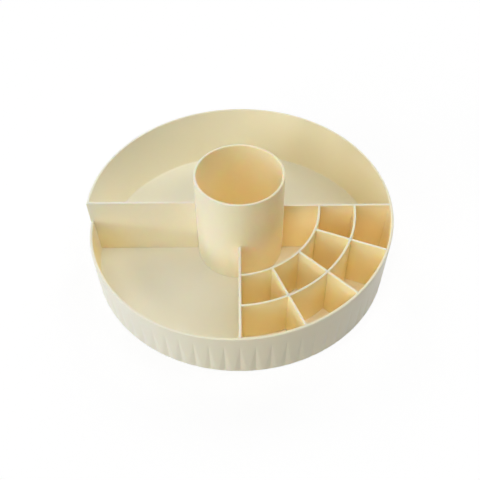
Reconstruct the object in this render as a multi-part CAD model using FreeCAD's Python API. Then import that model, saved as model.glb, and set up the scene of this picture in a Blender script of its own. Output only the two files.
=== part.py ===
"""Round makeup organizer: a tray with a rising rim, a brush cup in the middle and walls that part it.

Millimetres, +Z up. The origin is on the table, under the middle of the tray. The cross divider
lies along X and the front divider along -Y. A place on the round is given by its turn: degrees
anticlockwise seen from above, from the left end of the cross divider, so the front is at 90,
the right end at 180 and the back at 270.
"""
import FreeCAD, Part
import math
import os
from FreeCAD import Vector

# Tray
rim_radius = 120.0           # outside, at the height of the back rim
base_radius = 118.6          # outside, at the table
wall_at_rim = 2.0
wall_at_floor = 2.8
floor_top = 5.0              # height of the compartments' floor above the table
floor_thickness = 2.4
floor_corner = 1.5           # bevel where the floor meets the outer wall
skirt_bottom = 0.4           # the skirt clears the table, the pads carry the tray
skirt_wall = 2.6
foot_chamfer = 1.0           # outside bottom edge

# Rim: lowest in front of the step, rising through the front and right, level round the back
low_rim = 37.2
high_rim = 57.0
rise_turn = 255.0            # turn over which the rim rises
rim_step = 5.0               # turn between the points that the rim's curve goes through

# Flutes on the outside, deepest at the foot and running out below the rim
flute_count = 68
flute_width = 9.5            # at the foot
flute_depth = 0.8            # at the foot
flute_top = 34.0             # height where a flute runs out to a point
cutter_margin = 0.1          # share of a flute by which its cutter reaches past both ends
fluted_height = 36.0         # the flutes are cut in a band up to here, one segment for each
band_depth = 8.0             # how far in the segments of the band reach

# Brush cup
cup_radius = 34.6
cup_height = 81.3            # from its foot to its rim
cup_wall = 2.0
cup_floor = 3.4
cup_corner = 3.0
cup_edge = 0.6
cup_recess_radius = 29.0     # hollow under the cup, which drops over the tray's locating ring
cup_recess_depth = 1.6
cup_clearance = 0.4          # between the recess and the ring, and from the cup to the dividers
ring_wall = 2.0
ring_chamfer = 0.5

# Walls that part the tray
divider_thickness = 2.0
cell_wall = 1.8
ring_count = 3               # equal rings of cells between the cup and the outer wall
cells_per_ring = 4
floor_groove = 1.0           # depth of the grooves that the walls stand in
wall_groove = 0.6            # depth of the upright grooves that hold the walls' ends
joint_gap = 0.1              # on each side of a wall in its groove or slot

# Underside
pad_count = 6
pad_radius = 8.0
pad_circle = 96.0
rib_thickness = 1.6
rib_height = 1.4
rib_ring_radius = 60.0

above = 40.0                 # how far a cutter stands out past what it cuts
core_share = 0.1             # the rim's cutter starts at this share of its outside radius

floor_bottom = floor_top - floor_thickness
rim_inner_radius = rim_radius - wall_at_rim
floor_radius = base_radius + (rim_radius - base_radius) * floor_top / high_rim - wall_at_floor
ring_pitch = (rim_inner_radius - cup_radius) / ring_count
cell_turn = 90.0 / cells_per_ring
inner_arc_radius = cup_radius + ring_pitch
outer_arc_radius = cup_radius + 2.0 * ring_pitch
left_turn, front_turn, right_turn = 0.0, 90.0, 180.0
upright = Vector(0, 0, 1)
centre = Vector(0, 0, 0)


def place(radius, turn, height=0.0):
    """The point at a radius, a turn and a height."""
    angle = math.radians(180.0 + turn)
    return Vector(radius * math.cos(angle), radius * math.sin(angle), height)


def rim_height(turn):
    """The rim's height: an even S-shaped rise over rise_turn, then level."""
    share = min(turn / rise_turn, 1.0)
    return low_rim + (high_rim - low_rim) * share * share * (3.0 - 2.0 * share)


def outside_radius(height):
    """The outside of the tray leans out evenly from the table to the back rim."""
    return base_radius + (rim_radius - base_radius) * height / high_rim


def revolved(corners, turn=360.0):
    """A solid of revolution about the tray's axis, from corners (radius, height)."""
    points = [Vector(radius, 0, height) for radius, height in corners]
    return Part.Face(Part.makePolygon(points + points[:1])).revolve(centre, upright, turn)


def cavity(side=0.0, down=0.0, corner=0.0):
    """The space inside the outer wall and above the floor, grown to the side and down."""
    top = high_rim + above
    lean = (rim_inner_radius - floor_radius) / (high_rim - floor_top)
    foot = floor_radius - lean * down + side
    return revolved([
        (0.0, floor_top - down),
        (foot - corner, floor_top - down),
        (foot + lean * corner, floor_top - down + corner),
        (floor_radius + lean * (top - floor_top) + side, top),
        (0.0, top),
    ])


def above_the_rise():
    """Everything over the rising part of the rim, from inside the cup to outside the wall."""
    steps = int(rise_turn / rim_step)
    outer = Part.BSplineCurve()
    outer.interpolate([place(rim_radius + above, step * rim_step, rim_height(step * rim_step))
                       for step in range(steps + 1)])
    inner = outer.copy()
    for index, pole in enumerate(outer.getPoles()):
        inner.setPole(index + 1, Vector(pole.x * core_share, pole.y * core_share, pole.z))
    surface = Part.makeRuledSurface(inner.toShape(), outer.toShape())
    behind_step = Part.makeBox(
        rim_radius + 2.0 * above, divider_thickness, 4.0 * above,
        Vector(-rim_radius - 2.0 * above, -divider_thickness / 2.0, 0))
    return surface.extrude(upright * 2.0 * above).cut(behind_step)


def radial_panel(turn, inner, outer, thickness, bottom, top):
    """An upright flat panel that stands along a radius."""
    panel = Part.makeBox(outer - inner, thickness, top - bottom,
                         Vector(inner, -thickness / 2.0, bottom))
    panel.rotate(centre, upright, 180.0 + turn)
    return panel


def arc_panel(radius, thickness, bottom, top, reach):
    """An upright quarter round between the front and right dividers.

    Its ends stop short of the dividers' middle planes by reach.
    """
    outer = Part.makeCylinder(radius + thickness / 2.0, top - bottom, Vector(0, 0, bottom))
    inner = Part.makeCylinder(radius - thickness / 2.0, top - bottom, Vector(0, 0, bottom))
    quarter = Part.makeBox(rim_radius, rim_radius, top - bottom,
                           Vector(reach, -rim_radius - reach, bottom))
    return outer.cut(inner).common(quarter)


def divider_blank(turn, gap=0.0):
    """A divider from the cup to its groove in the outer wall; grown by gap it cuts the groove."""
    inner = cup_radius + cup_clearance - gap
    panel = radial_panel(turn, inner - cup_radius / 2.0, rim_radius, divider_thickness + 2.0 * gap,
                         floor_top - floor_groove, high_rim + above * (gap > 0.0))
    room_for_cup = Part.makeCylinder(inner, high_rim + 2.0 * above)
    return panel.common(cavity(wall_groove + gap, floor_groove)).cut(room_for_cup)


def radial_wall_blank(turn, gap=0.0):
    """A wall between cells, from its groove in the inner arc to its groove in the outer wall."""
    inner = inner_arc_radius + cell_wall / 2.0 - wall_groove - gap
    panel = radial_panel(turn, inner, rim_radius, cell_wall + 2.0 * gap,
                         floor_top - floor_groove, high_rim + above * (gap > 0.0))
    return panel.common(cavity(wall_groove + gap, floor_groove))


def arc_wall_blank(radius, gap=0.0):
    """A curved wall between rings of cells, from divider to divider."""
    reach = divider_thickness / 2.0 - wall_groove - gap
    return arc_panel(radius, cell_wall + 2.0 * gap, floor_top - floor_groove,
                     high_rim + above * (gap > 0.0), reach)


def radial_turns():
    """The turns of the walls between cells, from the front to the right."""
    return [front_turn + cell_turn * step for step in range(1, cells_per_ring)]


def flute_cutter():
    """A pyramid that leaves a pointed flute: two flat facets that meet in a valley."""
    foot = outside_radius(0.0)
    edge_angle = math.asin(flute_width / 2.0 / foot)
    valley = Vector(foot - flute_depth, 0, 0)
    run_out = Vector(outside_radius(flute_top), 0, flute_top)
    tip = run_out + (run_out - valley) * cutter_margin
    corners = [valley]
    for angle in (-edge_angle, edge_angle):
        edge = Vector(foot * math.cos(angle), foot * math.sin(angle), 0)
        corners.append(edge + (edge - valley))
    valley, right, left = [corner + (corner - tip) * cutter_margin for corner in corners]
    sides = [(tip, valley, right), (tip, left, valley), (tip, right, left), (valley, left, right)]
    faces = [Part.Face(Part.makePolygon(side + side[:1])) for side in sides]
    return Part.Solid(Part.Shell(faces))


def fluted_band():
    """The lower part of the outside wall, joined from one segment for each flute."""
    turn = 360.0 / flute_count
    foot = outside_radius(skirt_bottom)
    segment = revolved([
        (foot - band_depth, skirt_bottom),
        (foot - foot_chamfer, skirt_bottom),
        (outside_radius(skirt_bottom + foot_chamfer), skirt_bottom + foot_chamfer),
        (outside_radius(fluted_height), fluted_height),
        (foot - band_depth, fluted_height),
    ], turn)
    segment.rotate(centre, upright, -turn / 2.0)
    segment = segment.cut(flute_cutter())
    segments = []
    for index in range(flute_count):
        piece = segment.copy()
        piece.rotate(centre, upright, turn * index)
        segments.append(piece)
    return segments


def outer_body():
    """The tray before it is hollowed: the leaning outside wall, fluted up to the lowest rim."""
    inside = outside_radius(skirt_bottom) - band_depth
    body = revolved([
        (0.0, skirt_bottom),
        (inside, skirt_bottom),
        (inside, fluted_height),
        (outside_radius(fluted_height), fluted_height),
        (rim_radius, high_rim),
        (0.0, high_rim),
    ])
    return body.fuse(fluted_band())


def underside_hollow():
    """The space under the floor, inside the skirt, less the ribs."""
    hollow = revolved([
        (0.0, -above),
        (base_radius - skirt_wall, -above),
        (base_radius - skirt_wall, floor_bottom),
        (0.0, floor_bottom),
    ])
    rib_bottom = floor_bottom - rib_height
    rib_ring = Part.makeCylinder(rib_ring_radius + rib_thickness / 2.0, rib_height,
                                 Vector(0, 0, rib_bottom))
    rib_ring = rib_ring.cut(Part.makeCylinder(rib_ring_radius - rib_thickness / 2.0, rib_height,
                                              Vector(0, 0, rib_bottom)))
    hollow = hollow.cut(rib_ring)
    for index in range(pad_count):
        turn = 360.0 / pad_count * index
        rib = radial_panel(turn, rib_ring_radius, base_radius - skirt_wall / 2.0, rib_thickness,
                           rib_bottom, floor_bottom)
        hollow = hollow.cut(rib)
    return hollow


def locating_ring():
    """The low ring on the floor that the brush cup drops over."""
    outer = cup_recess_radius - cup_clearance
    height = floor_top + cup_recess_depth - cup_clearance
    return revolved([
        (outer - ring_wall, floor_top - floor_groove),
        (outer, floor_top - floor_groove),
        (outer, height - ring_chamfer),
        (outer - ring_chamfer, height),
        (outer - ring_wall, height),
    ])


def tray_shell():
    """Floor, fluted outer wall with its rising rim, locating ring and the grooves for the walls."""
    shell = outer_body().cut([cavity(corner=floor_corner), underside_hollow(), above_the_rise()])
    grooves = [divider_blank(turn, joint_gap) for turn in (left_turn, front_turn, right_turn)]
    grooves += [radial_wall_blank(turn, joint_gap) for turn in radial_turns()]
    grooves += [arc_wall_blank(radius, joint_gap) for radius in (inner_arc_radius, outer_arc_radius)]
    return shell.cut(grooves).fuse(locating_ring())


def brush_cup():
    """A plain round cup, hollow underneath so that it drops over the locating ring."""
    foot = floor_top
    top = foot + cup_height
    inside = cup_radius - cup_wall
    return revolved([
        (0.0, foot + cup_recess_depth),
        (cup_recess_radius, foot + cup_recess_depth),
        (cup_recess_radius, foot),
        (cup_radius, foot),
        (cup_radius, top - cup_edge),
        (cup_radius - cup_edge, top),
        (inside + cup_edge, top),
        (inside, top - cup_edge),
        (inside, foot + cup_floor + cup_corner),
        (inside - cup_corner, foot + cup_floor),
        (0.0, foot + cup_floor),
    ])


def divider(turn):
    """A divider under the rim's height at its turn, grooved where the curved walls meet it."""
    panel = divider_blank(turn)
    if turn == left_turn:
        return panel
    grooves = [arc_wall_blank(radius, joint_gap) for radius in (inner_arc_radius, outer_arc_radius)]
    return panel.cut(grooves + [above_the_rise()])


def half_lap(turn, upper):
    """The upper or lower half of the crossing of a radial wall and the outer arc wall."""
    width = cell_wall + 2.0 * joint_gap
    middle = (floor_top + rim_height(turn)) / 2.0
    bottom, top = (middle, high_rim + above) if upper else (0.0, middle + joint_gap)
    return radial_panel(turn, outer_arc_radius - width / 2.0, outer_arc_radius + width / 2.0, width,
                        bottom, top)


def inner_arc_wall():
    """The curved wall between the first two rings, with upright grooves for the radial walls."""
    wall = arc_wall_blank(inner_arc_radius)
    return wall.cut([radial_wall_blank(turn, joint_gap) for turn in radial_turns()]
                    + [above_the_rise()])


def outer_arc_wall():
    """The curved wall between the outer two rings, slotted from above."""
    wall = arc_wall_blank(outer_arc_radius)
    return wall.cut([half_lap(turn, True) for turn in radial_turns()] + [above_the_rise()])


def radial_wall(turn):
    """A flat wall between cells, slotted from below over the outer arc wall."""
    return radial_wall_blank(turn).cut([half_lap(turn, False), above_the_rise()])


def foot_pad(index):
    """A soft pad that the tray stands on."""
    middle = place(pad_circle, 360.0 / pad_count * (index + 0.5))
    return Part.makeCylinder(pad_radius, floor_bottom, middle)


def build():
    """Every piece by its name."""
    pieces = {
        "tray_shell": tray_shell(),
        "brush_cup": brush_cup(),
        "cross_divider_left": divider(left_turn),
        "cross_divider_right": divider(right_turn),
        "front_divider": divider(front_turn),
        "inner_arc_wall": inner_arc_wall(),
        "outer_arc_wall": outer_arc_wall(),
    }
    for number, turn in enumerate(radial_turns(), start=1):
        pieces["radial_wall_%d" % number] = radial_wall(turn)
    for index in range(pad_count):
        pieces["foot_pad_%d" % (index + 1)] = foot_pad(index)
    return pieces


os.makedirs("parts", exist_ok=True)
for name, shape in build().items():
    solids = shape.Solids
    assert len(solids) == 1 and solids[0].isValid(), name + " is not one sound solid"
    solids[0].exportStep("parts/" + name + ".step")
    print("%-20s %9.1f mm3" % (name, solids[0].Volume))
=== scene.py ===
"""A round makeup organizer: fluted tray with a rising rim, brush cup and cell walls.

Metres, +Z up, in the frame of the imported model. A place on the round is given by its turn:
the angle anticlockwise seen from above, from the left end of the cross divider, so the front
is at a quarter turn and the right end at a half turn.
"""
import math

import bpy
from bpy.props import FloatProperty, FloatVectorProperty, IntProperty, PointerProperty
from mathutils import Matrix, Vector


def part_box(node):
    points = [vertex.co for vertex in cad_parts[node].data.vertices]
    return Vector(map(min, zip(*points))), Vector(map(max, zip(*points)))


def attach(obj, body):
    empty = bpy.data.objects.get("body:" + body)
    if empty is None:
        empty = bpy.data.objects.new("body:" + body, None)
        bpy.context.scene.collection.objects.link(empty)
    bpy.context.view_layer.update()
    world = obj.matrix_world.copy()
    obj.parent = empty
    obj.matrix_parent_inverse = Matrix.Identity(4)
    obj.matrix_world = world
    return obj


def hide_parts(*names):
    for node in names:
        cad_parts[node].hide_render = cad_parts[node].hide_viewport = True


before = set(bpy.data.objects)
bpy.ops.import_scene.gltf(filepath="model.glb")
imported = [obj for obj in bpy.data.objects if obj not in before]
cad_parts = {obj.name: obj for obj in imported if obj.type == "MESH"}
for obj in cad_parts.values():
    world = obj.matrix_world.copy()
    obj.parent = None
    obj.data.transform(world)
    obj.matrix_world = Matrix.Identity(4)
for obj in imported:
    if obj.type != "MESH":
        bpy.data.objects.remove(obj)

bl_info = {
    "name": "Round Makeup Organizer",
    "version": (1, 0, 0),
    "blender": (4, 5, 0),
    "location": "3D View > Sidebar > Organizer",
    "description": "Makes a round makeup organizer with a fluted tray, a brush cup and cell walls",
    "category": "Add Mesh",
}

mm = 0.001
front_turn, right_turn, full_turn = math.radians(90), math.radians(180), math.radians(360)
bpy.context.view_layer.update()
tray_low, tray_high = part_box("tray_shell")
cup_low, cup_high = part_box("brush_cup")
pad_low, pad_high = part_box("foot_pad_1")
panel_low, panel_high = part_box("cross_divider_left")
inner_arc_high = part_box("inner_arc_wall")[1]
outer_arc_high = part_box("outer_arc_wall")[1]
rim_radius = tray_high.y
high_rim = tray_high.z
cup_radius = cup_high.x
panel_thickness = panel_high.y - panel_low.y
step_clearance = 0.025 * mm  # the step in the rim stands so far in front of the cross divider
step_gap = 0.02 * mm         # across the steep face of the step
lip_height = 2.5 * mm        # the top of a wall that moves with the rim as it is
relax_share = 12.0           # over the flutes, columns even out within 1/12 of the flutes' height


def length(name, description, value, top=0.5):
    """A size in metres that a user can change."""
    return FloatProperty(name=name, description=description, default=value, min=0.0, max=top,
                         precision=5, unit="LENGTH")


def colour(name, description, value):
    """A colour that a user can change."""
    return FloatVectorProperty(name=name, description=description, default=value, size=3,
                               min=0.0, max=1.0, subtype="COLOR")


class OrganizerTray(bpy.types.PropertyGroup):
    """Sizes of the fluted tray."""

    base_radius: length("Base Radius", "Outside radius at the table", 118.6 * mm)
    wall_at_rim: length("Wall at Rim", "Thickness of the outer wall at the back rim", 2.0 * mm)
    floor_height: length("Floor Height", "Height of the floor above the table", 5.0 * mm)
    floor_radius: length("Floor Radius", "Inside radius at the floor", 115.92 * mm)
    floor_thickness: length("Floor Thickness", "Thickness of the floor", 2.4 * mm)
    skirt_radius: length("Skirt Radius", "Inside radius of the skirt", 116.0 * mm)
    low_rim: length("Low Rim", "Height of the rim in front of the step", 37.2 * mm)
    rise_turn: FloatProperty(name="Rise Turn", description="Turn over which the rim rises",
                             default=math.radians(255), min=0.1, max=full_turn, unit="ROTATION")
    lip_rounding: length("Lip Rounding", "Rounding of the rim's edges", 0.7 * mm)
    foot_rounding: length("Foot Rounding", "Rounding of the outside bottom edge", 2.1 * mm)
    foot_band: length("Foot Band", "Height over which the flutes run out again below", 5.0 * mm)
    floor_rounding: length("Floor Rounding", "Rounding where the wall meets the floor", 1.5 * mm)
    flute_count: IntProperty(name="Flutes", description="Number of flutes round the outside",
                             default=68, min=12, max=120)
    flute_width: length("Flute Width", "Width of a flute at the foot", 9.5 * mm)
    flute_depth: length("Flute Depth", "Depth of a flute near the foot", 1.05 * mm)
    flute_top: length("Flute Top", "Height where a flute runs out", 34.0 * mm)
    flute_crease: length("Flute Crease", "Half width of a flute's softened creases", 0.36 * mm)
    rib_radius: length("Rib Radius", "Radius of the ring rib under the floor", 60.0 * mm)
    rib_thickness: length("Rib Thickness", "Thickness of the ribs under the floor", 1.6 * mm)
    rib_height: length("Rib Height", "Height of the ribs under the floor", 1.4 * mm)
    rib_count: IntProperty(name="Ribs", description="Straight ribs under the floor", default=6,
                           min=1, max=24)
    ring_radius: length("Ring Radius", "Outside radius of the ring the cup drops over", 28.6 * mm)
    ring_wall: length("Ring Wall", "Thickness of that ring", 2.0 * mm)
    ring_height: length("Ring Height", "Height of that ring above the floor", 1.2 * mm)


class OrganizerCup(bpy.types.PropertyGroup):
    """Sizes of the brush cup."""

    wall: length("Wall", "Thickness of the cup's wall", 2.0 * mm)
    floor: length("Floor", "Thickness of the cup's floor above its foot", 3.4 * mm)
    corner: length("Corner", "Rounding inside at the bottom", 3.0 * mm)
    lip_rounding: length("Lip Rounding", "Rounding of the cup's rim", 0.8 * mm)
    foot_rounding: length("Foot Rounding", "Rounding of the cup's foot", 0.5 * mm)
    recess_radius: length("Recess Radius", "Radius of the hollow under the cup", 29.0 * mm)
    recess_depth: length("Recess Depth", "Depth of the hollow under the cup", 1.6 * mm)
    clearance: length("Clearance", "Gap from the cup to the dividers", 0.4 * mm)


class OrganizerWalls(bpy.types.PropertyGroup):
    """Sizes of the dividers and the cell walls."""

    cell_wall: length("Cell Wall", "Thickness of the walls between cells", 1.8 * mm)
    cells: IntProperty(name="Cells", description="Cells in each of the two outer rings",
                       default=4, min=2, max=8)
    edge_rounding: length("Edge Rounding", "Rounding of the walls' top edges", 0.45 * mm)
    wall_groove: length("Wall Groove", "How far a wall's end reaches into the next wall", 0.6 * mm)
    drop: length("Drop", "How much lower each kind of wall stands than the one it meets", 0.04 * mm)


class OrganizerPads(bpy.types.PropertyGroup):
    """Sizes of the non-slip pads."""

    count: IntProperty(name="Pads", description="Number of pads", default=6, min=3, max=12)
    edge_rounding: length("Edge Rounding", "Rounding of a pad's lower edge", 0.5 * mm)


class OrganizerFinish(bpy.types.PropertyGroup):
    """Colours and grain of the moulded plastic, with the yellow colour that its painted light mixes
    in.
    """

    pale: colour("Pale Ivory", "Colour where the light only glances off", (0.955, 0.925, 0.785))
    # Painted light: this yellow colour is mixed in where glow through the walls, light bouncing in
    # the cells and shade on the side away from the lamps are painted.
    painted_warm_light: colour("Painted Warm Light", "Colour where light shines through", (0.99, 0.85, 0.50))
    blush: FloatProperty(name="Blush", description="How much redder the cup and the dividers are",
                         default=0.022, min=0.0, max=0.5, subtype="FACTOR")
    rubber: colour("Rubber", "Colour of the pads", (0.57, 0.54, 0.45))
    grain: length("Grain", "Size of the moulding's matt grain", 0.45 * mm)
    grain_depth: length("Grain Depth", "Depth of the matt grain", 0.012 * mm)
    roughness: FloatProperty(name="Roughness", description="Roughness of the plastic", default=0.34,
                             min=0.0, max=1.0, subtype="FACTOR")
    glow: FloatProperty(name="Glow", description="Share of the light that passes into the plastic",
                        default=0.5, min=0.0, max=1.0, subtype="FACTOR")
    glow_depth: length("Glow Depth", "How far red light travels in the plastic", 4.0 * mm)


class OrganizerStage(bpy.types.PropertyGroup):
    """Camera, lamps and floor."""

    view_distance: length("View Distance", "From the camera to what it looks at", 555.9 * mm, 5.0)
    view_elevation: FloatProperty(name="View Elevation", description="Camera's height angle",
                                  default=math.radians(47.53), unit="ROTATION")
    view_azimuth: FloatProperty(name="View Azimuth", description="Camera's turn to the right",
                                default=math.radians(0.39), unit="ROTATION")
    view_roll: FloatProperty(name="View Roll", description="Camera's tilt",
                             default=math.radians(-0.73), unit="ROTATION")
    aim_height: length("Aim Height", "Height of the point the camera looks at", 12.5 * mm)
    focal_length: FloatProperty(name="Focal Length", description="Camera's focal length in mm",
                                default=50.2, min=10.0, max=200.0)
    brightness: FloatProperty(name="Brightness", description="Strength of all lamps together",
                              default=1.0, min=0.0)
    softness: FloatProperty(name="Softness", description="Widens all lamps, for softer shadows",
                            default=1.0, min=0.0, max=3.0, subtype="FACTOR")
    floor_white: FloatProperty(name="Floor White",
                               description="How much light the floor throws back",
                               default=0.53, min=0.0, max=1.0, subtype="FACTOR")


class Value:
    """A number in a node tree. Sums written with it become Math nodes."""

    def __init__(self, nodes, socket):
        self.nodes = nodes
        self.socket = socket

    def math(self, operation, *others):
        return self.nodes.add("ShaderNodeMath", {"operation": operation}, [self, *others])

    def output(self, name):
        return Value(self.nodes, self.socket.node.outputs[name])

    def __add__(self, other):
        return self.math("ADD", other)

    def __radd__(self, other):
        return self.math("ADD", other)

    def __sub__(self, other):
        return self.math("SUBTRACT", other)

    def __rsub__(self, other):
        return self.nodes.add("ShaderNodeMath", {"operation": "SUBTRACT"}, [other, self])

    def __mul__(self, other):
        return self.math("MULTIPLY", other)

    def __rmul__(self, other):
        return self.math("MULTIPLY", other)

    def __truediv__(self, other):
        return self.math("DIVIDE", other)

    def __rtruediv__(self, other):
        return self.nodes.add("ShaderNodeMath", {"operation": "DIVIDE"}, [other, self])

    def __pow__(self, other):
        return self.math("POWER", other)

    def __gt__(self, other):
        return self.math("GREATER_THAN", other)

    def __lt__(self, other):
        return self.math("LESS_THAN", other)

    def clamp(self, low=0.0, high=1.0):
        return self.nodes.add("ShaderNodeClamp", None, [self, low, high])


class Nodes:
    """Adds nodes to one tree."""

    def __init__(self, tree):
        self.tree = tree

    def add(self, kind, settings=None, sockets=None):
        """Adds a node: its settings first, then its sockets' values or links, by place or name."""
        node = self.tree.nodes.new(kind)
        for name, value in (settings or {}).items():
            if name == "stops":
                self.set_stops(node.color_ramp, value)
            else:
                setattr(node, name, value)
        if not isinstance(sockets, dict):
            sockets = dict(enumerate(sockets or []))
        for key, value in sockets.items():
            if isinstance(value, Value):
                self.tree.links.new(value.socket, node.inputs[key])
            else:
                node.inputs[key].default_value = value
        return Value(self, node.outputs[0]) if node.outputs else node

    def set_stops(self, ramp, stops):
        """Gives a colour ramp two or more stops of (place, colour)."""
        while len(ramp.elements) < len(stops):
            ramp.elements.new(1.0)
        for element, (place, colour) in zip(ramp.elements, stops):
            element.position = place
            element.color = colour

    def mix_colours(self, share, first, second):
        mixed = self.add("ShaderNodeMix", {"data_type": "RGBA"}, {0: share, 6: first, 7: second})
        return Value(self, mixed.socket.node.outputs[2])


def start_tree(name, inputs):
    """A geometry node tree with named inputs; gives its nodes and the inputs' values by name."""
    tree = bpy.data.node_groups.new(name, "GeometryNodeTree")
    tree.interface.new_socket(name="Geometry", in_out="INPUT", socket_type="NodeSocketGeometry")
    for input_name, socket_kind in inputs.items():
        tree.interface.new_socket(name=input_name, in_out="INPUT", socket_type=socket_kind)
    tree.interface.new_socket(name="Geometry", in_out="OUTPUT", socket_type="NodeSocketGeometry")
    nodes = Nodes(tree)
    entry = nodes.add("NodeGroupInput")
    return nodes, {name: entry.output(name) for name in ["Geometry", *inputs]}


def end_tree(nodes, geometry, material):
    """Ends a tree in real geometry with the material on it."""
    real = nodes.add("GeometryNodeRealizeInstances", None, [geometry])
    coated = nodes.add("GeometryNodeSetMaterial", None, {"Geometry": real, "Material": material})
    nodes.add("NodeGroupOutput", None, [coated])
    return nodes.tree


def made_by(name, mesh, tree, sizes, smooth_to=math.radians(35)):
    """A piece whose mesh the tree makes: the result is kept as a plain mesh."""
    piece = bpy.data.objects.new(name, mesh)
    bpy.context.scene.collection.objects.link(piece)
    modifier = piece.modifiers.new(tree.name, "NODES")
    modifier.node_group = tree
    for item in tree.interface.items_tree:
        if item.in_out == "INPUT" and item.name in sizes:
            modifier[item.identifier] = sizes[item.name]
    graph = bpy.context.evaluated_depsgraph_get()
    result = bpy.data.meshes.new_from_object(piece.evaluated_get(graph), depsgraph=graph)
    if not result.polygons:
        raise RuntimeError("the node tree made no faces for " + name)
    piece.modifiers.clear()
    piece.data = result
    result.name = name
    soften(result, smooth_to)
    return piece


def soften(mesh, smooth_to=math.radians(35)):
    """Smooth shading, with edges sharper than smooth_to kept crisp."""
    mesh.shade_smooth()
    mesh.set_sharp_from_angle(angle=smooth_to)


def settle(piece, body, slot, *node_names):
    """Puts a finished piece on its body, in place of its nodes. Its slot is not used."""
    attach(piece, body)
    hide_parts(*node_names)


def rounded(corners, steps=4):
    """Points along an outline whose corners (radius, height, rounding) are arcs.

    An arc has so many steps, and a small one two.
    """
    points = []
    for index, (radius, height, rounding) in enumerate(corners):
        corner = Vector((radius, height))
        if rounding == 0.0:
            points.append(corner)
            continue
        before = (Vector(corners[index - 1][:2]) - corner).normalized()
        after = (Vector(corners[(index + 1) % len(corners)][:2]) - corner).normalized()
        half = before.angle(after) / 2.0
        middle = corner + (before + after).normalized() * (rounding / math.sin(half))
        start = corner + before * (rounding / math.tan(half)) - middle
        swing = math.pi - 2.0 * half
        parts = steps if rounding > 0.4 * mm else 2
        if before.x * after.y - before.y * after.x > 0.0:
            swing = -swing
        for step in range(parts + 1):
            turn = swing * step / parts
            arm = Vector((start.x * math.cos(turn) - start.y * math.sin(turn),
                          start.x * math.sin(turn) + start.y * math.cos(turn)))
            points.append(middle + arm)
    return points


def spun(name, outline, turns, straight=(), straight_from=0.0):
    """A closed mesh spun about the axis: one column of the outline at each turn.

    The outline runs from the axis, under the piece, up the outside and back to the axis. The turns
    in straight are those of the rim: beyond straight_from their columns keep their distance from
    the plane of the cross divider.
    """
    rows = outline[1:-1]
    vertices = [(0.0, 0.0, outline[0][1]), (0.0, 0.0, outline[-1][1])]
    for turn in turns:
        for radius, height in rows:
            angle = turn
            if turn in straight:
                angle = math.asin(rim_radius * math.sin(turn) / max(radius, straight_from))
            vertices.append((-radius * math.cos(angle), -radius * math.sin(angle), height))
    faces = []
    for column in range(len(turns)):
        here = 2 + column * len(rows)
        there = 2 + (column + 1) % len(turns) * len(rows)
        faces.append((0, there, here))
        faces += [(here + row, there + row, there + row + 1, here + row + 1)
                  for row in range(len(rows) - 1)]
        faces.append((1, here + len(rows) - 1, there + len(rows) - 1))
    mesh = bpy.data.meshes.new(name)
    mesh.from_pydata(vertices, [], faces)
    return mesh


def even_turns(count):
    return [full_turn * index / count for index in range(count)]


def rim_drop(nodes, x, y, sizes):
    """How far the rim at a place lies under the back rim, as a value in a node tree."""
    turn = y.math("ARCTAN2", x) + math.pi
    share = (turn / sizes["Rise Turn"]).clamp()
    rise = share * share * (3.0 - 2.0 * share)
    drop = (sizes["High Rim"] - sizes["Low Rim"]) * (1.0 - rise)
    behind = y - sizes["Step"]
    rounding = sizes["Lip Rounding"]
    corner = rounding - behind
    corner = corner.math("MAXIMUM", 0.0)
    round_off = rounding - (rounding * rounding - corner * corner).math("SQRT")
    at_step = (x < 0.0) * (behind > 0.0)
    return drop * (1.0 - at_step) + round_off * at_step


rim_inputs = {
    "High Rim": "NodeSocketFloat",
    "Low Rim": "NodeSocketFloat",
    "Rise Turn": "NodeSocketFloat",
    "Step": "NodeSocketFloat",
    "Lip Rounding": "NodeSocketFloat",
    "Flute Top": "NodeSocketFloat",
}


def outside_lean(tray):
    """How far the outside of the outer wall leans out for each metre of height."""
    return (rim_radius - tray.base_radius) / high_rim


def inside_lean(tray):
    """How far the inside of the outer wall leans out for each metre of height."""
    return ((rim_radius - tray.wall_at_rim - tray.floor_radius) / (high_rim - tray.floor_height))


def rim_sizes(tray):
    """The sizes that the rim's rule needs."""
    return {
        "High Rim": high_rim,
        "Low Rim": tray.low_rim,
        "Rise Turn": tray.rise_turn,
        "Step": -panel_thickness / 2.0 - step_clearance,
        "Lip Rounding": tray.lip_rounding,
        "Flute Top": tray.flute_top,
    }


def lowered(nodes, geometry, sizes):
    """Lowers the tops of upright walls to the rim's height at their place, and marks the tops."""
    position = nodes.add("GeometryNodeInputPosition")
    place = nodes.add("ShaderNodeSeparateXYZ", None, [position])
    x, y, z = place, place.output("Y"), place.output("Z")
    # Top mark: 1 along the top edge, where the materials paint a highlight.
    top = ((z - sizes["Top"]) / sizes["Edge Rounding"] + 1.0).clamp()
    geometry = nodes.add("GeometryNodeStoreNamedAttribute", {"data_type": "FLOAT"},
                         {"Geometry": geometry, "Name": "top", "Value": top})
    span = sizes["High Rim"] - lip_height - sizes["Flute Top"]
    weight = ((z - sizes["Flute Top"]) / span).clamp()
    down = nodes.add("ShaderNodeCombineXYZ", None,
                     [0.0, 0.0, 0.0 - rim_drop(nodes, x, y, sizes) * weight])
    return nodes.add("GeometryNodeSetPosition", None, {"Geometry": geometry, "Offset": down})


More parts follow.
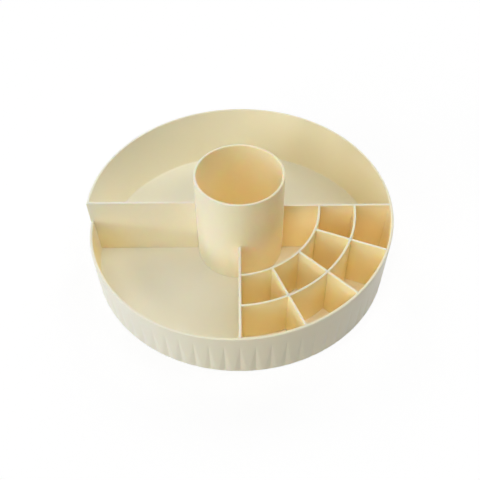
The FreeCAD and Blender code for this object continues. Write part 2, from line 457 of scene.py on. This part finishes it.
def fluted_tray_tree(material):
    """Presses the flutes into a plain round tray, lowers its rim and adds the ribs under it."""
    inputs = dict(rim_inputs, **{"Turn Step": "NodeSocketFloat", "Count": "NodeSocketInt"})
    for name in ("Pitch", "Edge", "Flute Depth", "Base Radius", "Lean", "Wall", "Inside Lean",
                 "Foot Band", "Thickness", "Bottom", "Top", "Edge Rounding", "Inner Radius",
                 "Outer Radius"):
        inputs[name] = "NodeSocketFloat"
    nodes, sizes = start_tree("fluted tray", inputs)
    place = nodes.add("ShaderNodeSeparateXYZ", None, [nodes.add("GeometryNodeInputPosition")])
    x, y, z = place, place.output("Y"), place.output("Z")
    radius = (x * x + y * y).math("SQRT")
    turn = y.math("ARCTAN2", x) + math.pi
    pitch, edge = sizes["Pitch"], sizes["Edge"]

    taper, narrowest = 0.9, 0.02  # how a flute narrows upward, and its half width where it ends
    unit = (turn / pitch + 0.5).math("FRACT") - 0.5
    size = unit.math("ABSOLUTE")
    share = (1.0 - z / sizes["Flute Top"]).clamp()
    relax = ((z / sizes["Flute Top"] - 1.0) * relax_share).clamp()
    reach = (edge * share ** taper).math("MAXIMUM", edge * relax).math("MAXIMUM", narrowest)
    inside = size * reach / edge
    outside = reach + (size - edge) * (0.5 - reach) / (0.5 - edge)
    on_land = size > edge
    slid = inside * (1.0 - on_land) + outside * on_land
    new_turn = turn + (slid * unit.math("SIGN") - unit) * pitch

    foot_fade = (z / sizes["Foot Band"]).clamp()
    foot_fade = foot_fade * foot_fade * (3.0 - 2.0 * foot_fade)
    press = sizes["Flute Depth"] * foot_fade * share * (1.0 - size / edge).clamp()
    wall = sizes["Base Radius"] + sizes["Lean"] * z
    fluted = radius.math("MINIMUM", wall - press)

    span = sizes["High Rim"] - lip_height - sizes["Flute Top"]
    weight = ((z - sizes["Flute Top"]) / span).clamp()
    drop = rim_drop(nodes, x, y, sizes) * weight
    top_radius = sizes["Base Radius"] + sizes["Lean"] * sizes["High Rim"]
    side = (1.0 - (top_radius - radius) / sizes["Wall"]).clamp()
    lean = sizes["Inside Lean"] * (1.0 - side) + sizes["Lean"] * side
    new_radius = fluted - drop * lean
    moved = nodes.add("ShaderNodeCombineXYZ", None, [
        0.0 - new_radius * new_turn.math("COSINE"),
        0.0 - new_radius * new_turn.math("SINE"),
        z - drop,
    ])
    shaped = nodes.add("GeometryNodeSetPosition", None,
                       {"Geometry": sizes["Geometry"], "Position": moved})
    ribs = turned_copies(nodes, straight_panel(nodes, dict(sizes, Lean=0.0)), 0.0,
                         sizes["Turn Step"], sizes["Count"])
    both = nodes.add("GeometryNodeJoinGeometry", None, [ribs])
    nodes.tree.links.new(shaped.socket, both.socket.node.inputs[0])
    return end_tree(nodes, both, material)


def tray_outline(tray):
    """Half section of the tray at the full rim height, from the axis round to the axis."""
    under = tray.floor_height - tray.floor_thickness
    skirt_bottom = tray_low.z
    lean = outside_lean(tray)
    foot = tray.base_radius + lean * skirt_bottom
    rim_inside = rim_radius - tray.wall_at_rim
    rib_in, rib_out = (tray.rib_radius - tray.rib_thickness / 2.0,
                       tray.rib_radius + tray.rib_thickness / 2.0)
    small = tray.rib_thickness / 8.0
    ring_top = tray.floor_height + tray.ring_height
    below = rounded([
        (0.0, under, 0.0),
        (rib_in, under, small),
        (rib_in, under - tray.rib_height, small),
        (rib_out, under - tray.rib_height, small),
        (rib_out, under, small),
        (tray.skirt_radius, under, small),
        (tray.skirt_radius, skirt_bottom, small),
        (foot, skirt_bottom, tray.foot_rounding),
        (rim_radius, high_rim, 0.0),
    ])[:-1]
    foot_top = skirt_bottom + tray.foot_rounding
    band_rows = [foot_top + (tray.foot_band - foot_top) * share for share in (0.25, 0.5, 0.75)]
    steps = 11
    flute_rows = [tray.foot_band + (tray.flute_top - tray.foot_band) * step / steps
                  for step in range(steps + 1)]
    outside = [Vector((tray.base_radius + lean * height, height))
               for height in band_rows + flute_rows]
    relaxed = tray.flute_top * (1.0 + 1.0 / relax_share)
    outside += [Vector((tray.base_radius + lean * height, height))
                for height in (relaxed, high_rim - 2.0 * lip_height)]
    above = rounded([
        (foot, skirt_bottom, 0.0),
        (rim_radius, high_rim, tray.lip_rounding),
        (rim_inside, high_rim, tray.lip_rounding),
        (tray.floor_radius, tray.floor_height, tray.floor_rounding),
        (tray.ring_radius, tray.floor_height, small),
        (tray.ring_radius, ring_top, small),
        (tray.ring_radius - tray.ring_wall, ring_top, small),
        (tray.ring_radius - tray.ring_wall, tray.floor_height, small),
        (0.0, tray.floor_height, 0.0),
    ])[1:]
    return below + outside + above


def flute_turns(tray):
    """Turns of the tray's columns: close together at the flutes' creases."""
    pitch = full_turn / tray.flute_count
    crease = tray.flute_crease / (tray.base_radius * pitch)
    edge = flute_edge(tray)
    half = [crease, 2.0 * crease, edge / 2.0, edge - 2.0 * crease, edge - crease, edge + crease]
    units = [-place for place in reversed(half)] + half + [0.5]
    return [(index + unit) * pitch % full_turn
            for index in range(tray.flute_count) for unit in units]


def step_turns(tray):
    """Turns of the columns at the step in the rim, and along the rounding behind it."""
    step = panel_thickness / 2.0 + step_clearance
    behind = [step_gap / 2.0] + [tray.lip_rounding * share for share in (0.08, 0.25, 0.55, 1.0)]
    return [math.asin((step - distance) / rim_radius) for distance in [-step_gap / 2.0, *behind]]


def flute_edge(tray):
    """Half a flute's width at the foot, as a share of the flutes' pitch."""
    return math.asin(tray.flute_width / 2.0 / tray.base_radius) / (full_turn / tray.flute_count)


def rounded_panel(nodes, path, thickness, low, high, rounding):
    """An upright wall along a path, with rounded edges."""
    section = nodes.add("GeometryNodeCurvePrimitiveQuadrilateral", None,
                        {"Width": thickness, "Height": high - low})
    section = nodes.add("GeometryNodeFilletCurve", {"mode": "POLY"},
                        {"Curve": section, "Count": 4, "Radius": rounding})
    upright = nodes.add("GeometryNodeSetCurveNormal", {"mode": "Z_UP"}, {"Curve": path})
    wall = nodes.add("GeometryNodeCurveToMesh", None,
                     {"Curve": upright, "Profile Curve": section, "Fill Caps": True})
    lift = nodes.add("ShaderNodeCombineXYZ", None, [0.0, 0.0, (high + low) / 2.0])
    return nodes.add("GeometryNodeSetPosition", None, {"Geometry": wall, "Offset": lift})


panel_inputs = dict(rim_inputs, **{
    name: "NodeSocketFloat"
    for name in ("Thickness", "Bottom", "Top", "Edge Rounding", "Inner Radius", "Outer Radius",
                 "Lean")
})


def straight_panel(nodes, sizes):
    """A wall that stands along a radius to the left, its outer end leaning with the tray's wall."""
    start = nodes.add("ShaderNodeCombineXYZ", None, [0.0 - sizes["Inner Radius"], 0.0, 0.0])
    end = nodes.add("ShaderNodeCombineXYZ", None, [0.0 - sizes["Outer Radius"], 0.0, 0.0])
    path = nodes.add("GeometryNodeCurvePrimitiveLine", None, {"Start": start, "End": end})
    wall = rounded_panel(nodes, path, sizes["Thickness"], sizes["Bottom"], sizes["Top"],
                         sizes["Edge Rounding"])
    place = nodes.add("ShaderNodeSeparateXYZ", None, [nodes.add("GeometryNodeInputPosition")])
    middle = (sizes["Inner Radius"] + sizes["Outer Radius"]) / 2.0
    at_end = (0.0 - place) > middle
    out = sizes["Lean"] * (place.output("Z") - sizes["Bottom"]) * at_end
    shift = nodes.add("ShaderNodeCombineXYZ", None, [0.0 - out, 0.0, 0.0])
    return nodes.add("GeometryNodeSetPosition", None, {"Geometry": wall, "Offset": shift})


def turned_copies(nodes, geometry, first, step, count):
    """Copies of a piece turned about the tray's axis."""
    spots = nodes.add("GeometryNodePoints", None, {"Count": count})
    index = nodes.add("GeometryNodeInputIndex")
    angle = nodes.add("ShaderNodeCombineXYZ", None, [0.0, 0.0, first + step * index])
    return nodes.add("GeometryNodeInstanceOnPoints", None,
                     {"Points": spots, "Instance": geometry, "Rotation": angle})


def straight_walls_tree(material):
    """Straight walls at even turns, their tops following the rim."""
    inputs = dict(panel_inputs, **{"First Turn": "NodeSocketFloat", "Turn Step": "NodeSocketFloat",
                                   "Count": "NodeSocketInt"})
    nodes, sizes = start_tree("straight walls", inputs)
    panel = straight_panel(nodes, sizes)
    copies = turned_copies(nodes, panel, sizes["First Turn"], sizes["Turn Step"], sizes["Count"])
    real = nodes.add("GeometryNodeRealizeInstances", None, [copies])
    return end_tree(nodes, lowered(nodes, real, sizes), material)


def curved_wall_tree(material):
    """A wall along an arc in the front right quarter, its top following the rim."""
    inputs = dict(panel_inputs, **{"First Turn": "NodeSocketFloat", "Turn Step": "NodeSocketFloat"})
    nodes, sizes = start_tree("curved wall", inputs)
    path = nodes.add("GeometryNodeCurveArc", {"mode": "RADIUS"}, {
        "Resolution": 72, "Radius": sizes["Inner Radius"],
        "Start Angle": sizes["First Turn"] + math.pi, "Sweep Angle": sizes["Turn Step"]})
    wall = rounded_panel(nodes, path, sizes["Thickness"], sizes["Bottom"], sizes["Top"],
                         sizes["Edge Rounding"])
    return end_tree(nodes, lowered(nodes, wall, sizes), material)


def pads_tree(material):
    """Pads at even turns on a circle."""
    nodes, sizes = start_tree("pads", {"Circle": "NodeSocketFloat", "First Turn": "NodeSocketFloat",
                                       "Turn Step": "NodeSocketFloat", "Count": "NodeSocketInt"})
    shift = nodes.add("ShaderNodeCombineXYZ", None, [0.0 - sizes["Circle"], 0.0, 0.0])
    outward = nodes.add("GeometryNodeSetPosition", None,
                        {"Geometry": sizes["Geometry"], "Offset": shift})
    copies = turned_copies(nodes, outward, sizes["First Turn"], sizes["Turn Step"], sizes["Count"])
    return end_tree(nodes, copies, material)


def tray_painted_light(x, y, z, top):
    """Share of painted light on the tray: pale outside to the lit left, yellower outside to the
    front and right as painted shade, and yellowest as painted glow on the inside of the wall of the
    front right quarter.
    """
    radius = (x * x + y * y).math("SQRT")
    inner_wall = 116.02 * mm + 0.04 * z  # a little outside the wall's inner face
    inside = ((inner_wall - radius) / (0.2 * mm)).clamp()
    # Painted shade: outside, yellower from the lit left towards the front and the right.
    outside = 0.42 * (1.0 + 12.0 * x).clamp()
    wall = ((z - 5.2 * mm) / mm).clamp()
    front = (y / (-20.0 * mm)).clamp()
    right = (0.45 + 5.0 * x).clamp()
    # Painted glow inside: little on the floor, more up the walls, most on the walls to the front
    # and the right.
    floor_part = 0.05 + 0.15 * right
    left = (-6.0 * x - 0.2).clamp(0.0, 0.4)
    wall_part = 0.16 + 0.45 * right + (0.5 + left) * front
    painted_light = outside + inside * (floor_part + wall * (wall_part - floor_part) - outside)
    # The steep face of the step in the rim takes the dividers' painted light.
    depth = (y + panel_thickness / 2.0 + step_clearance).math("ABSOLUTE")
    step_face = (depth < 0.05 * mm) * (x < -inner_arc_high.x)
    return painted_light + step_face * (divider_painted_light(x, y, z, 0.0) - painted_light)


def cup_painted_light(x, y, z, top):
    """Share of painted light on the cup: painted glow inside, and outside paler to the lit left and
    yellower as painted shade towards the cells on the right.
    """
    radius = (x * x + y * y).math("SQRT")
    inside = ((cup_radius - 1.0 * mm - radius) / mm).clamp()
    # Painted shade: outside, paler to the lit left and yellower to the right.
    outside = (0.3 + 10.0 * x).clamp(0.1, 0.6)
    return outside + inside * (0.65 - outside)


def divider_painted_light(x, y, z, top):
    """Share of painted light on the dividers: paler to the lit left, yellower on the side of the
    cells, painted shade low down at the left end, and a painted highlight that pales the top edges.
    """
    # Painted shade: darker and yellower low down in the corner at the left end, by the low front
    # wall.
    corner = (-2.0 - 25.0 * x).clamp() * (1.3 - 40.0 * z).clamp()
    side = (0.5 + 40.0 * (x + 0.5 * mm)).clamp(0.2, 0.85) + 0.5 * corner
    # Painted highlight: the top edges paler.
    return side * (1.0 - 0.7 * top)


def cell_wall_painted_light(x, y, z, top):
    """Share of painted light on the cell walls: painted glow of the deep cells, and a painted
    highlight that pales the top edges.
    """
    return 0.85 - 0.6 * top


def moulded_plastic(name, finish, painted_light, glow=1.0, blush=0.0):
    """Fine-grained matt plastic, slightly translucent, faintly cloudy and uneven in its sheen.

    painted_light is a function of the place on the piece and of its top edge's mark: the share of
    the yellow colour painted for glow, shade and a highlight on the top edge. blush is the share of
    green that the piece's colours lack.
    """
    pale, painted_warm_light = [(red, green * (1.0 - blush), blue, 1.0)
                  for red, green, blue in (finish.pale, finish.painted_warm_light)]
    material = bpy.data.materials.new(name)
    material.use_nodes = True
    nodes = Nodes(material.node_tree)
    shader = material.node_tree.nodes["Principled BSDF"]
    place = nodes.add("ShaderNodeTexCoord").output("Object")
    x = nodes.add("ShaderNodeSeparateXYZ", None, [place])
    top = nodes.add("ShaderNodeAttribute", {"attribute_name": "top"}).output("Fac")
    cloud = nodes.add("ShaderNodeTexNoise", None,
                      {"Vector": place, "Scale": 22.0, "Detail": 3.0, "Roughness": 0.55})
    grain = nodes.add("ShaderNodeTexNoise", None, {"Vector": place, "Scale": 1.0 / finish.grain,
                                                   "Detail": 4.0, "Roughness": 0.6})
    flow = nodes.add("ShaderNodeTexNoise", None,
                     {"Vector": place, "Scale": 160.0, "Detail": 2.0, "Distortion": 0.6})
    uneven = (cloud * 0.75 + grain * 0.25 - 0.5) * 0.25
    # Painted light: the share of the yellow colour from the piece's painted glow, shade and
    # highlights, with random tone added.
    painted_light_share = (uneven + painted_light(x, x.output("Y"), x.output("Z"), top)).clamp()
    tone = nodes.mix_colours(painted_light_share, pale, painted_warm_light)
    roughness = finish.roughness + (flow - 0.5) * 0.10 + (grain - 0.5) * 0.12
    height = grain + flow * 0.35
    bump = nodes.add("ShaderNodeBump", None, {"Strength": 0.35, "Distance": finish.grain_depth,
                                              "Height": height})
    links = material.node_tree.links
    links.new(tone.socket, shader.inputs["Base Color"])
    links.new(roughness.clamp(0.2, 0.9).socket, shader.inputs["Roughness"])
    links.new(bump.socket, shader.inputs["Normal"])
    shader.inputs["IOR"].default_value = 1.49
    shader.inputs["Subsurface Weight"].default_value = finish.glow * glow
    shader.inputs["Subsurface Radius"].default_value = (1.0, 0.55, 0.25)
    shader.inputs["Subsurface Scale"].default_value = finish.glow_depth
    return material


def pad_rubber(finish):
    """Dull rubber with a fine crumb and a worn, greyer middle."""
    material = bpy.data.materials.new("pad rubber")
    material.use_nodes = True
    nodes = Nodes(material.node_tree)
    shader = material.node_tree.nodes["Principled BSDF"]
    place = nodes.add("ShaderNodeTexCoord").output("Object")
    crumb = nodes.add("ShaderNodeTexNoise", None, {"Vector": place, "Scale": 0.5 / finish.grain,
                                                   "Detail": 5.0, "Roughness": 0.7})
    wear = nodes.add("ShaderNodeTexNoise", None, {"Vector": place, "Scale": 90.0, "Detail": 2.0})
    worn = [0.8 * channel for channel in finish.rubber]
    worn_share = (crumb * 0.5 + wear * 0.5).clamp()
    tone = nodes.mix_colours(worn_share, (*worn, 1.0), (*finish.rubber, 1.0))
    bump = nodes.add("ShaderNodeBump", None, {"Strength": 0.6, "Distance": 3.0 * finish.grain_depth,
                                              "Height": crumb})
    links = material.node_tree.links
    links.new(tone.socket, shader.inputs["Base Color"])
    links.new((0.65 + crumb * 0.25).socket, shader.inputs["Roughness"])
    links.new(bump.socket, shader.inputs["Normal"])
    return material


class ORGANIZER_OT_tray(bpy.types.Operator):
    """Make the fluted tray with its rising rim"""

    bl_idname = "organizer.tray"
    bl_label = "Tray"

    def execute(self, context):
        scene = context.scene
        tray = scene.organizer_tray
        material = moulded_plastic("ivory tray", scene.organizer_finish, tray_painted_light, 0.4)
        under = tray.floor_height - tray.floor_thickness
        sizes = dict(rim_sizes(tray), **{
            "Pitch": full_turn / tray.flute_count,
            "Edge": flute_edge(tray),
            "Flute Depth": tray.flute_depth,
            "Foot Band": tray.foot_band,
            "Base Radius": tray.base_radius,
            "Lean": outside_lean(tray),
            "Wall": tray.wall_at_rim,
            "Inside Lean": inside_lean(tray),
            "Turn Step": full_turn / tray.rib_count,
            "Count": tray.rib_count,
            "Thickness": tray.rib_thickness,
            "Bottom": under - tray.rib_height + 0.02 * mm,
            "Top": under + 0.4 * mm,
            "Edge Rounding": tray.rib_thickness / 8.0,
            "Inner Radius": tray.rib_radius,
            "Outer Radius": tray.skirt_radius + 0.8 * mm,
        })
        steps = step_turns(tray)
        plain = spun("plain tray", tray_outline(tray), sorted(flute_turns(tray) + steps), steps,
                     tray.floor_radius)
        piece = made_by("tray", plain, fluted_tray_tree(material), sizes)
        settle(piece, "tray", "tray", "tray_shell")
        return {"FINISHED"}


class ORGANIZER_OT_cup(bpy.types.Operator):
    """Make the brush cup"""

    bl_idname = "organizer.cup"
    bl_label = "Brush Cup"

    def execute(self, context):
        scene = context.scene
        cup = scene.organizer_cup
        foot, top = cup_low.z, cup_high.z
        inside = cup_radius - cup.wall
        floor = foot + cup.floor
        outline = rounded([
            (0.0, foot + cup.recess_depth, 0.0),
            (cup.recess_radius, foot + cup.recess_depth, cup.foot_rounding),
            (cup.recess_radius, foot, cup.foot_rounding),
            (cup_radius, foot, cup.foot_rounding),
            (cup_radius, top, cup.lip_rounding),
            (inside, top, cup.lip_rounding),
            (inside, floor, cup.corner),
            (0.0, floor, 0.0),
        ], 6)
        mesh = spun("brush cup", outline, even_turns(256))
        finish = scene.organizer_finish
        mesh.materials.append(moulded_plastic("ivory cup", finish, cup_painted_light, 1.6, finish.blush))
        soften(mesh)
        piece = bpy.data.objects.new("brush_cup_dressed", mesh)
        scene.collection.objects.link(piece)
        settle(piece, "brush_cup", "cup", "brush_cup")
        return {"FINISHED"}


def panel_sizes(scene, thickness, drop, inner, outer):
    """Sizes that every wall's tree takes."""
    tray, walls = scene.organizer_tray, scene.organizer_walls
    return dict(rim_sizes(tray), **{
        "Thickness": thickness,
        "Bottom": tray.floor_height - walls.wall_groove,
        "Top": high_rim - drop,
        "Edge Rounding": walls.edge_rounding,
        "Inner Radius": inner,
        "Outer Radius": outer,
        "Lean": inside_lean(tray),
    })


class ORGANIZER_OT_dividers(bpy.types.Operator):
    """Make the cross dividers and the front divider"""

    bl_idname = "organizer.dividers"
    bl_label = "Dividers"

    def execute(self, context):
        scene = context.scene
        tray, cup, walls = scene.organizer_tray, scene.organizer_cup, scene.organizer_walls
        finish = scene.organizer_finish
        material = moulded_plastic("ivory divider", finish, divider_painted_light, 1.0, finish.blush)
        tree = straight_walls_tree(material)
        sizes = panel_sizes(scene, panel_thickness, walls.drop, cup_radius + cup.clearance,
                            tray.floor_radius + walls.wall_groove)
        for name, turn in (("cross_divider_left", 0.0), ("front_divider", front_turn),
                           ("cross_divider_right", right_turn)):
            sizes.update({"First Turn": turn, "Turn Step": 0.0, "Count": 1})
            piece = made_by(name + "_dressed", bpy.data.meshes.new(name), tree, sizes)
            settle(piece, "tray", "dividers", name)
        return {"FINISHED"}


class ORGANIZER_OT_curved_walls(bpy.types.Operator):
    """Make the two curved walls between the rings of cells"""

    bl_idname = "organizer.curved_walls"
    bl_label = "Curved Walls"

    def execute(self, context):
        scene = context.scene
        walls = scene.organizer_walls
        material = moulded_plastic("ivory curved wall", scene.organizer_finish, cell_wall_painted_light)
        tree = curved_wall_tree(material)
        for name, corner in (("inner_arc_wall", inner_arc_high),
                             ("outer_arc_wall", outer_arc_high)):
            radius = corner.x - walls.cell_wall / 2.0
            sizes = panel_sizes(scene, walls.cell_wall, 2.0 * walls.drop, radius, radius)
            short = (panel_thickness / 2.0 - walls.wall_groove) / radius
            sizes.update({"First Turn": front_turn + short,
                          "Turn Step": right_turn - front_turn - 2.0 * short})
            piece = made_by(name + "_dressed", bpy.data.meshes.new(name), tree, sizes)
            settle(piece, "tray", "cell_walls", name)
        return {"FINISHED"}


class ORGANIZER_OT_radial_walls(bpy.types.Operator):
    """Make the flat walls between the cells"""

    bl_idname = "organizer.radial_walls"
    bl_label = "Radial Walls"

    def execute(self, context):
        scene = context.scene
        tray, walls = scene.organizer_tray, scene.organizer_walls
        material = moulded_plastic("ivory flat wall", scene.organizer_finish, cell_wall_painted_light)
        step = (right_turn - front_turn) / walls.cells
        sizes = panel_sizes(scene, walls.cell_wall, 3.0 * walls.drop,
                            inner_arc_high.x - walls.wall_groove,
                            tray.floor_radius + walls.wall_groove)
        sizes.update({"First Turn": front_turn + step, "Turn Step": step, "Count": walls.cells - 1})
        piece = made_by("radial_walls", bpy.data.meshes.new("radial walls"),
                        straight_walls_tree(material), sizes)
        settle(piece, "tray", "cell_walls", "radial_wall_1", "radial_wall_2", "radial_wall_3")
        return {"FINISHED"}


class ORGANIZER_OT_pads(bpy.types.Operator):
    """Make the non-slip pads under the tray"""

    bl_idname = "organizer.pads"
    bl_label = "Pads"

    def execute(self, context):
        scene = context.scene
        pads = scene.organizer_pads
        middle = (pad_low + pad_high) / 2.0
        radius = (pad_high.x - pad_low.x) / 2.0
        outline = rounded([(0.0, pad_low.z, 0.0), (radius, pad_low.z, pads.edge_rounding),
                           (radius, pad_high.z, 0.0), (0.0, pad_high.z, 0.0)])
        step = full_turn / pads.count
        sizes = {"Circle": Vector((middle.x, middle.y)).length, "First Turn": step / 2.0,
                 "Turn Step": step, "Count": pads.count}
        piece = made_by("foot_pads", spun("pad", outline, even_turns(64)),
                        pads_tree(pad_rubber(scene.organizer_finish)), sizes)
        settle(piece, "tray", "pads", *["foot_pad_%d" % (index + 1) for index in range(pads.count)])
        return {"FINISHED"}


lamps = (
    # name, azimuth, elevation, strength, how wide it looks
    ("back right", 60, 30, 0.81, 30),
    ("back left", 120, 30, 0.66, 30),
    ("right", 0, 50, 0.54, 30),
    ("overhead", 0, 75, 0.34, 30),
    ("high front left", 240, 70, 0.51, 30),
    ("front left", 240, 30, 0.38, 24),
    ("left", 210, 30, 0.22, 24),
    ("low front left", 228, 12, 0.46, 14),
    ("low left", 198, 4, 0.94, 20),
)


def studio_lamp(name, azimuth, elevation, strength, width):
    """A wide soft lamp: its azimuth anticlockwise from the right, height and width in degrees."""
    lamp = bpy.data.lights.new(name, "SUN")
    lamp.energy = strength
    lamp.angle = math.radians(width)
    stand = bpy.data.objects.new(name, lamp)
    turn, height = math.radians(azimuth), math.radians(elevation)
    toward = Vector((math.cos(height) * math.cos(turn), math.cos(height) * math.sin(turn),
                     math.sin(height)))
    stand.location = toward
    stand.rotation_euler = toward.to_track_quat("Z", "Y").to_euler()
    bpy.context.scene.collection.objects.link(stand)


def shown_rays(nodes):
    """1 for the rays that show a surface to the camera, directly or mirrored; 0 for its light."""
    seen = nodes.add("ShaderNodeLightPath")
    shown = seen.math("MAXIMUM", seen.output("Is Glossy Ray"))
    return shown.math("MAXIMUM", seen.output("Is Transmission Ray"))


def white_surroundings():
    """A world that looks white and lights nothing."""
    world = bpy.data.worlds.new("white surroundings")
    world.use_nodes = True
    backdrop = world.node_tree.nodes["Background"]
    backdrop.inputs["Color"].default_value = (1.0, 1.0, 1.0, 1.0)
    shown = shown_rays(Nodes(world.node_tree))
    world.node_tree.links.new(shown.socket, backdrop.inputs["Strength"])
    return world


def floor_material(white):
    """Pale floor: seen as white, and darker only where the object shades it."""
    material = bpy.data.materials.new("pale floor")
    material.use_nodes = True
    material.node_tree.nodes.clear()
    nodes = Nodes(material.node_tree)
    glow_share, glow_strength = 0.7, 1.255  # together with the lamps' light they come to white
    matt = nodes.add("ShaderNodeBsdfDiffuse", None, {"Color": (white, white, white, 1.0)})
    glow = nodes.add("ShaderNodeEmission", None,
                     {"Color": (1.0, 1.0, 1.0, 1.0), "Strength": glow_strength})
    faint = nodes.add("ShaderNodeMixShader", None, [glow_share, matt, glow])
    mixed = nodes.add("ShaderNodeMixShader", None, [shown_rays(nodes), matt, faint])
    nodes.add("ShaderNodeOutputMaterial", None, {"Surface": mixed})
    return material


class ORGANIZER_OT_stage(bpy.types.Operator):
    """Make the floor, the lamps and the camera"""

    bl_idname = "organizer.stage"
    bl_label = "Stage"

    def execute(self, context):
        scene = context.scene
        stage = scene.organizer_stage
        half = 3.0  # metres
        ground = bpy.data.meshes.new("floor")
        ground.from_pydata([(-half, -half, 0.0), (half, -half, 0.0), (half, half, 0.0),
                            (-half, half, 0.0)], [], [(0, 1, 2, 3)])
        ground.materials.append(floor_material(stage.floor_white))
        plane = bpy.data.objects.new("floor", ground)
        scene.collection.objects.link(plane)

        for name, azimuth, elevation, strength, width in lamps:
            studio_lamp(name, azimuth, elevation, strength * stage.brightness,
                        width * stage.softness)
        deep_bounces = 16  # the deep cells stay grey with fewer
        scene.cycles.max_bounces = deep_bounces
        scene.cycles.diffuse_bounces = deep_bounces
        scene.world = white_surroundings()
        scene.view_settings.view_transform = "Standard"

        camera_data = bpy.data.cameras.new("camera")
        camera_data.lens = stage.focal_length
        camera = bpy.data.objects.new("camera", camera_data)
        scene.collection.objects.link(camera)
        aim = Vector((0.0, 0.0, stage.aim_height))
        turned = (Matrix.Rotation(stage.view_azimuth, 4, "Z")
                  @ Matrix.Rotation(math.pi / 2.0 - stage.view_elevation, 4, "X"))
        back = turned @ Vector((0.0, 0.0, stage.view_distance))
        camera.matrix_world = (Matrix.Translation(aim + back) @ turned
                               @ Matrix.Rotation(stage.view_roll, 4, "Z"))
        scene.camera = camera
        return {"FINISHED"}


class ORGANIZER_PT_panel(bpy.types.Panel):
    """The organizer's pieces in the sidebar"""

    bl_idname = "ORGANIZER_PT_panel"
    bl_label = "Makeup Organizer"
    bl_space_type = "VIEW_3D"
    bl_region_type = "UI"
    bl_category = "Organizer"

    def draw(self, context):
        for name, kinds in panel_rows:
            box = self.layout.box()
            group = getattr(context.scene, name)
            for size in group.__annotations__:
                box.prop(group, size)
            for kind in kinds:
                box.operator(kind.bl_idname)


groups = {
    "organizer_tray": OrganizerTray,
    "organizer_cup": OrganizerCup,
    "organizer_walls": OrganizerWalls,
    "organizer_pads": OrganizerPads,
    "organizer_finish": OrganizerFinish,
    "organizer_stage": OrganizerStage,
}
panel_rows = [
    ("organizer_tray", [ORGANIZER_OT_tray]),
    ("organizer_cup", [ORGANIZER_OT_cup]),
    ("organizer_walls", [ORGANIZER_OT_dividers, ORGANIZER_OT_curved_walls,
                         ORGANIZER_OT_radial_walls]),
    ("organizer_pads", [ORGANIZER_OT_pads]),
    ("organizer_finish", []),
    ("organizer_stage", [ORGANIZER_OT_stage]),
]
operators = [operator for row in panel_rows for operator in row[1]]
classes = [*groups.values(), *operators, ORGANIZER_PT_panel]


def register():
    for kind in classes:
        bpy.utils.register_class(kind)
    for name, group in groups.items():
        setattr(bpy.types.Scene, name, PointerProperty(type=group))


def unregister():
    for name in groups:
        delattr(bpy.types.Scene, name)
    for kind in reversed(classes):
        bpy.utils.unregister_class(kind)


def main():
    """Makes the stage and every piece."""
    register()
    bpy.ops.organizer.stage()
    bpy.ops.organizer.tray()
    bpy.ops.organizer.cup()
    bpy.ops.organizer.dividers()
    bpy.ops.organizer.curved_walls()
    bpy.ops.organizer.radial_walls()
    bpy.ops.organizer.pads()


if __name__ == "__main__":
    main()
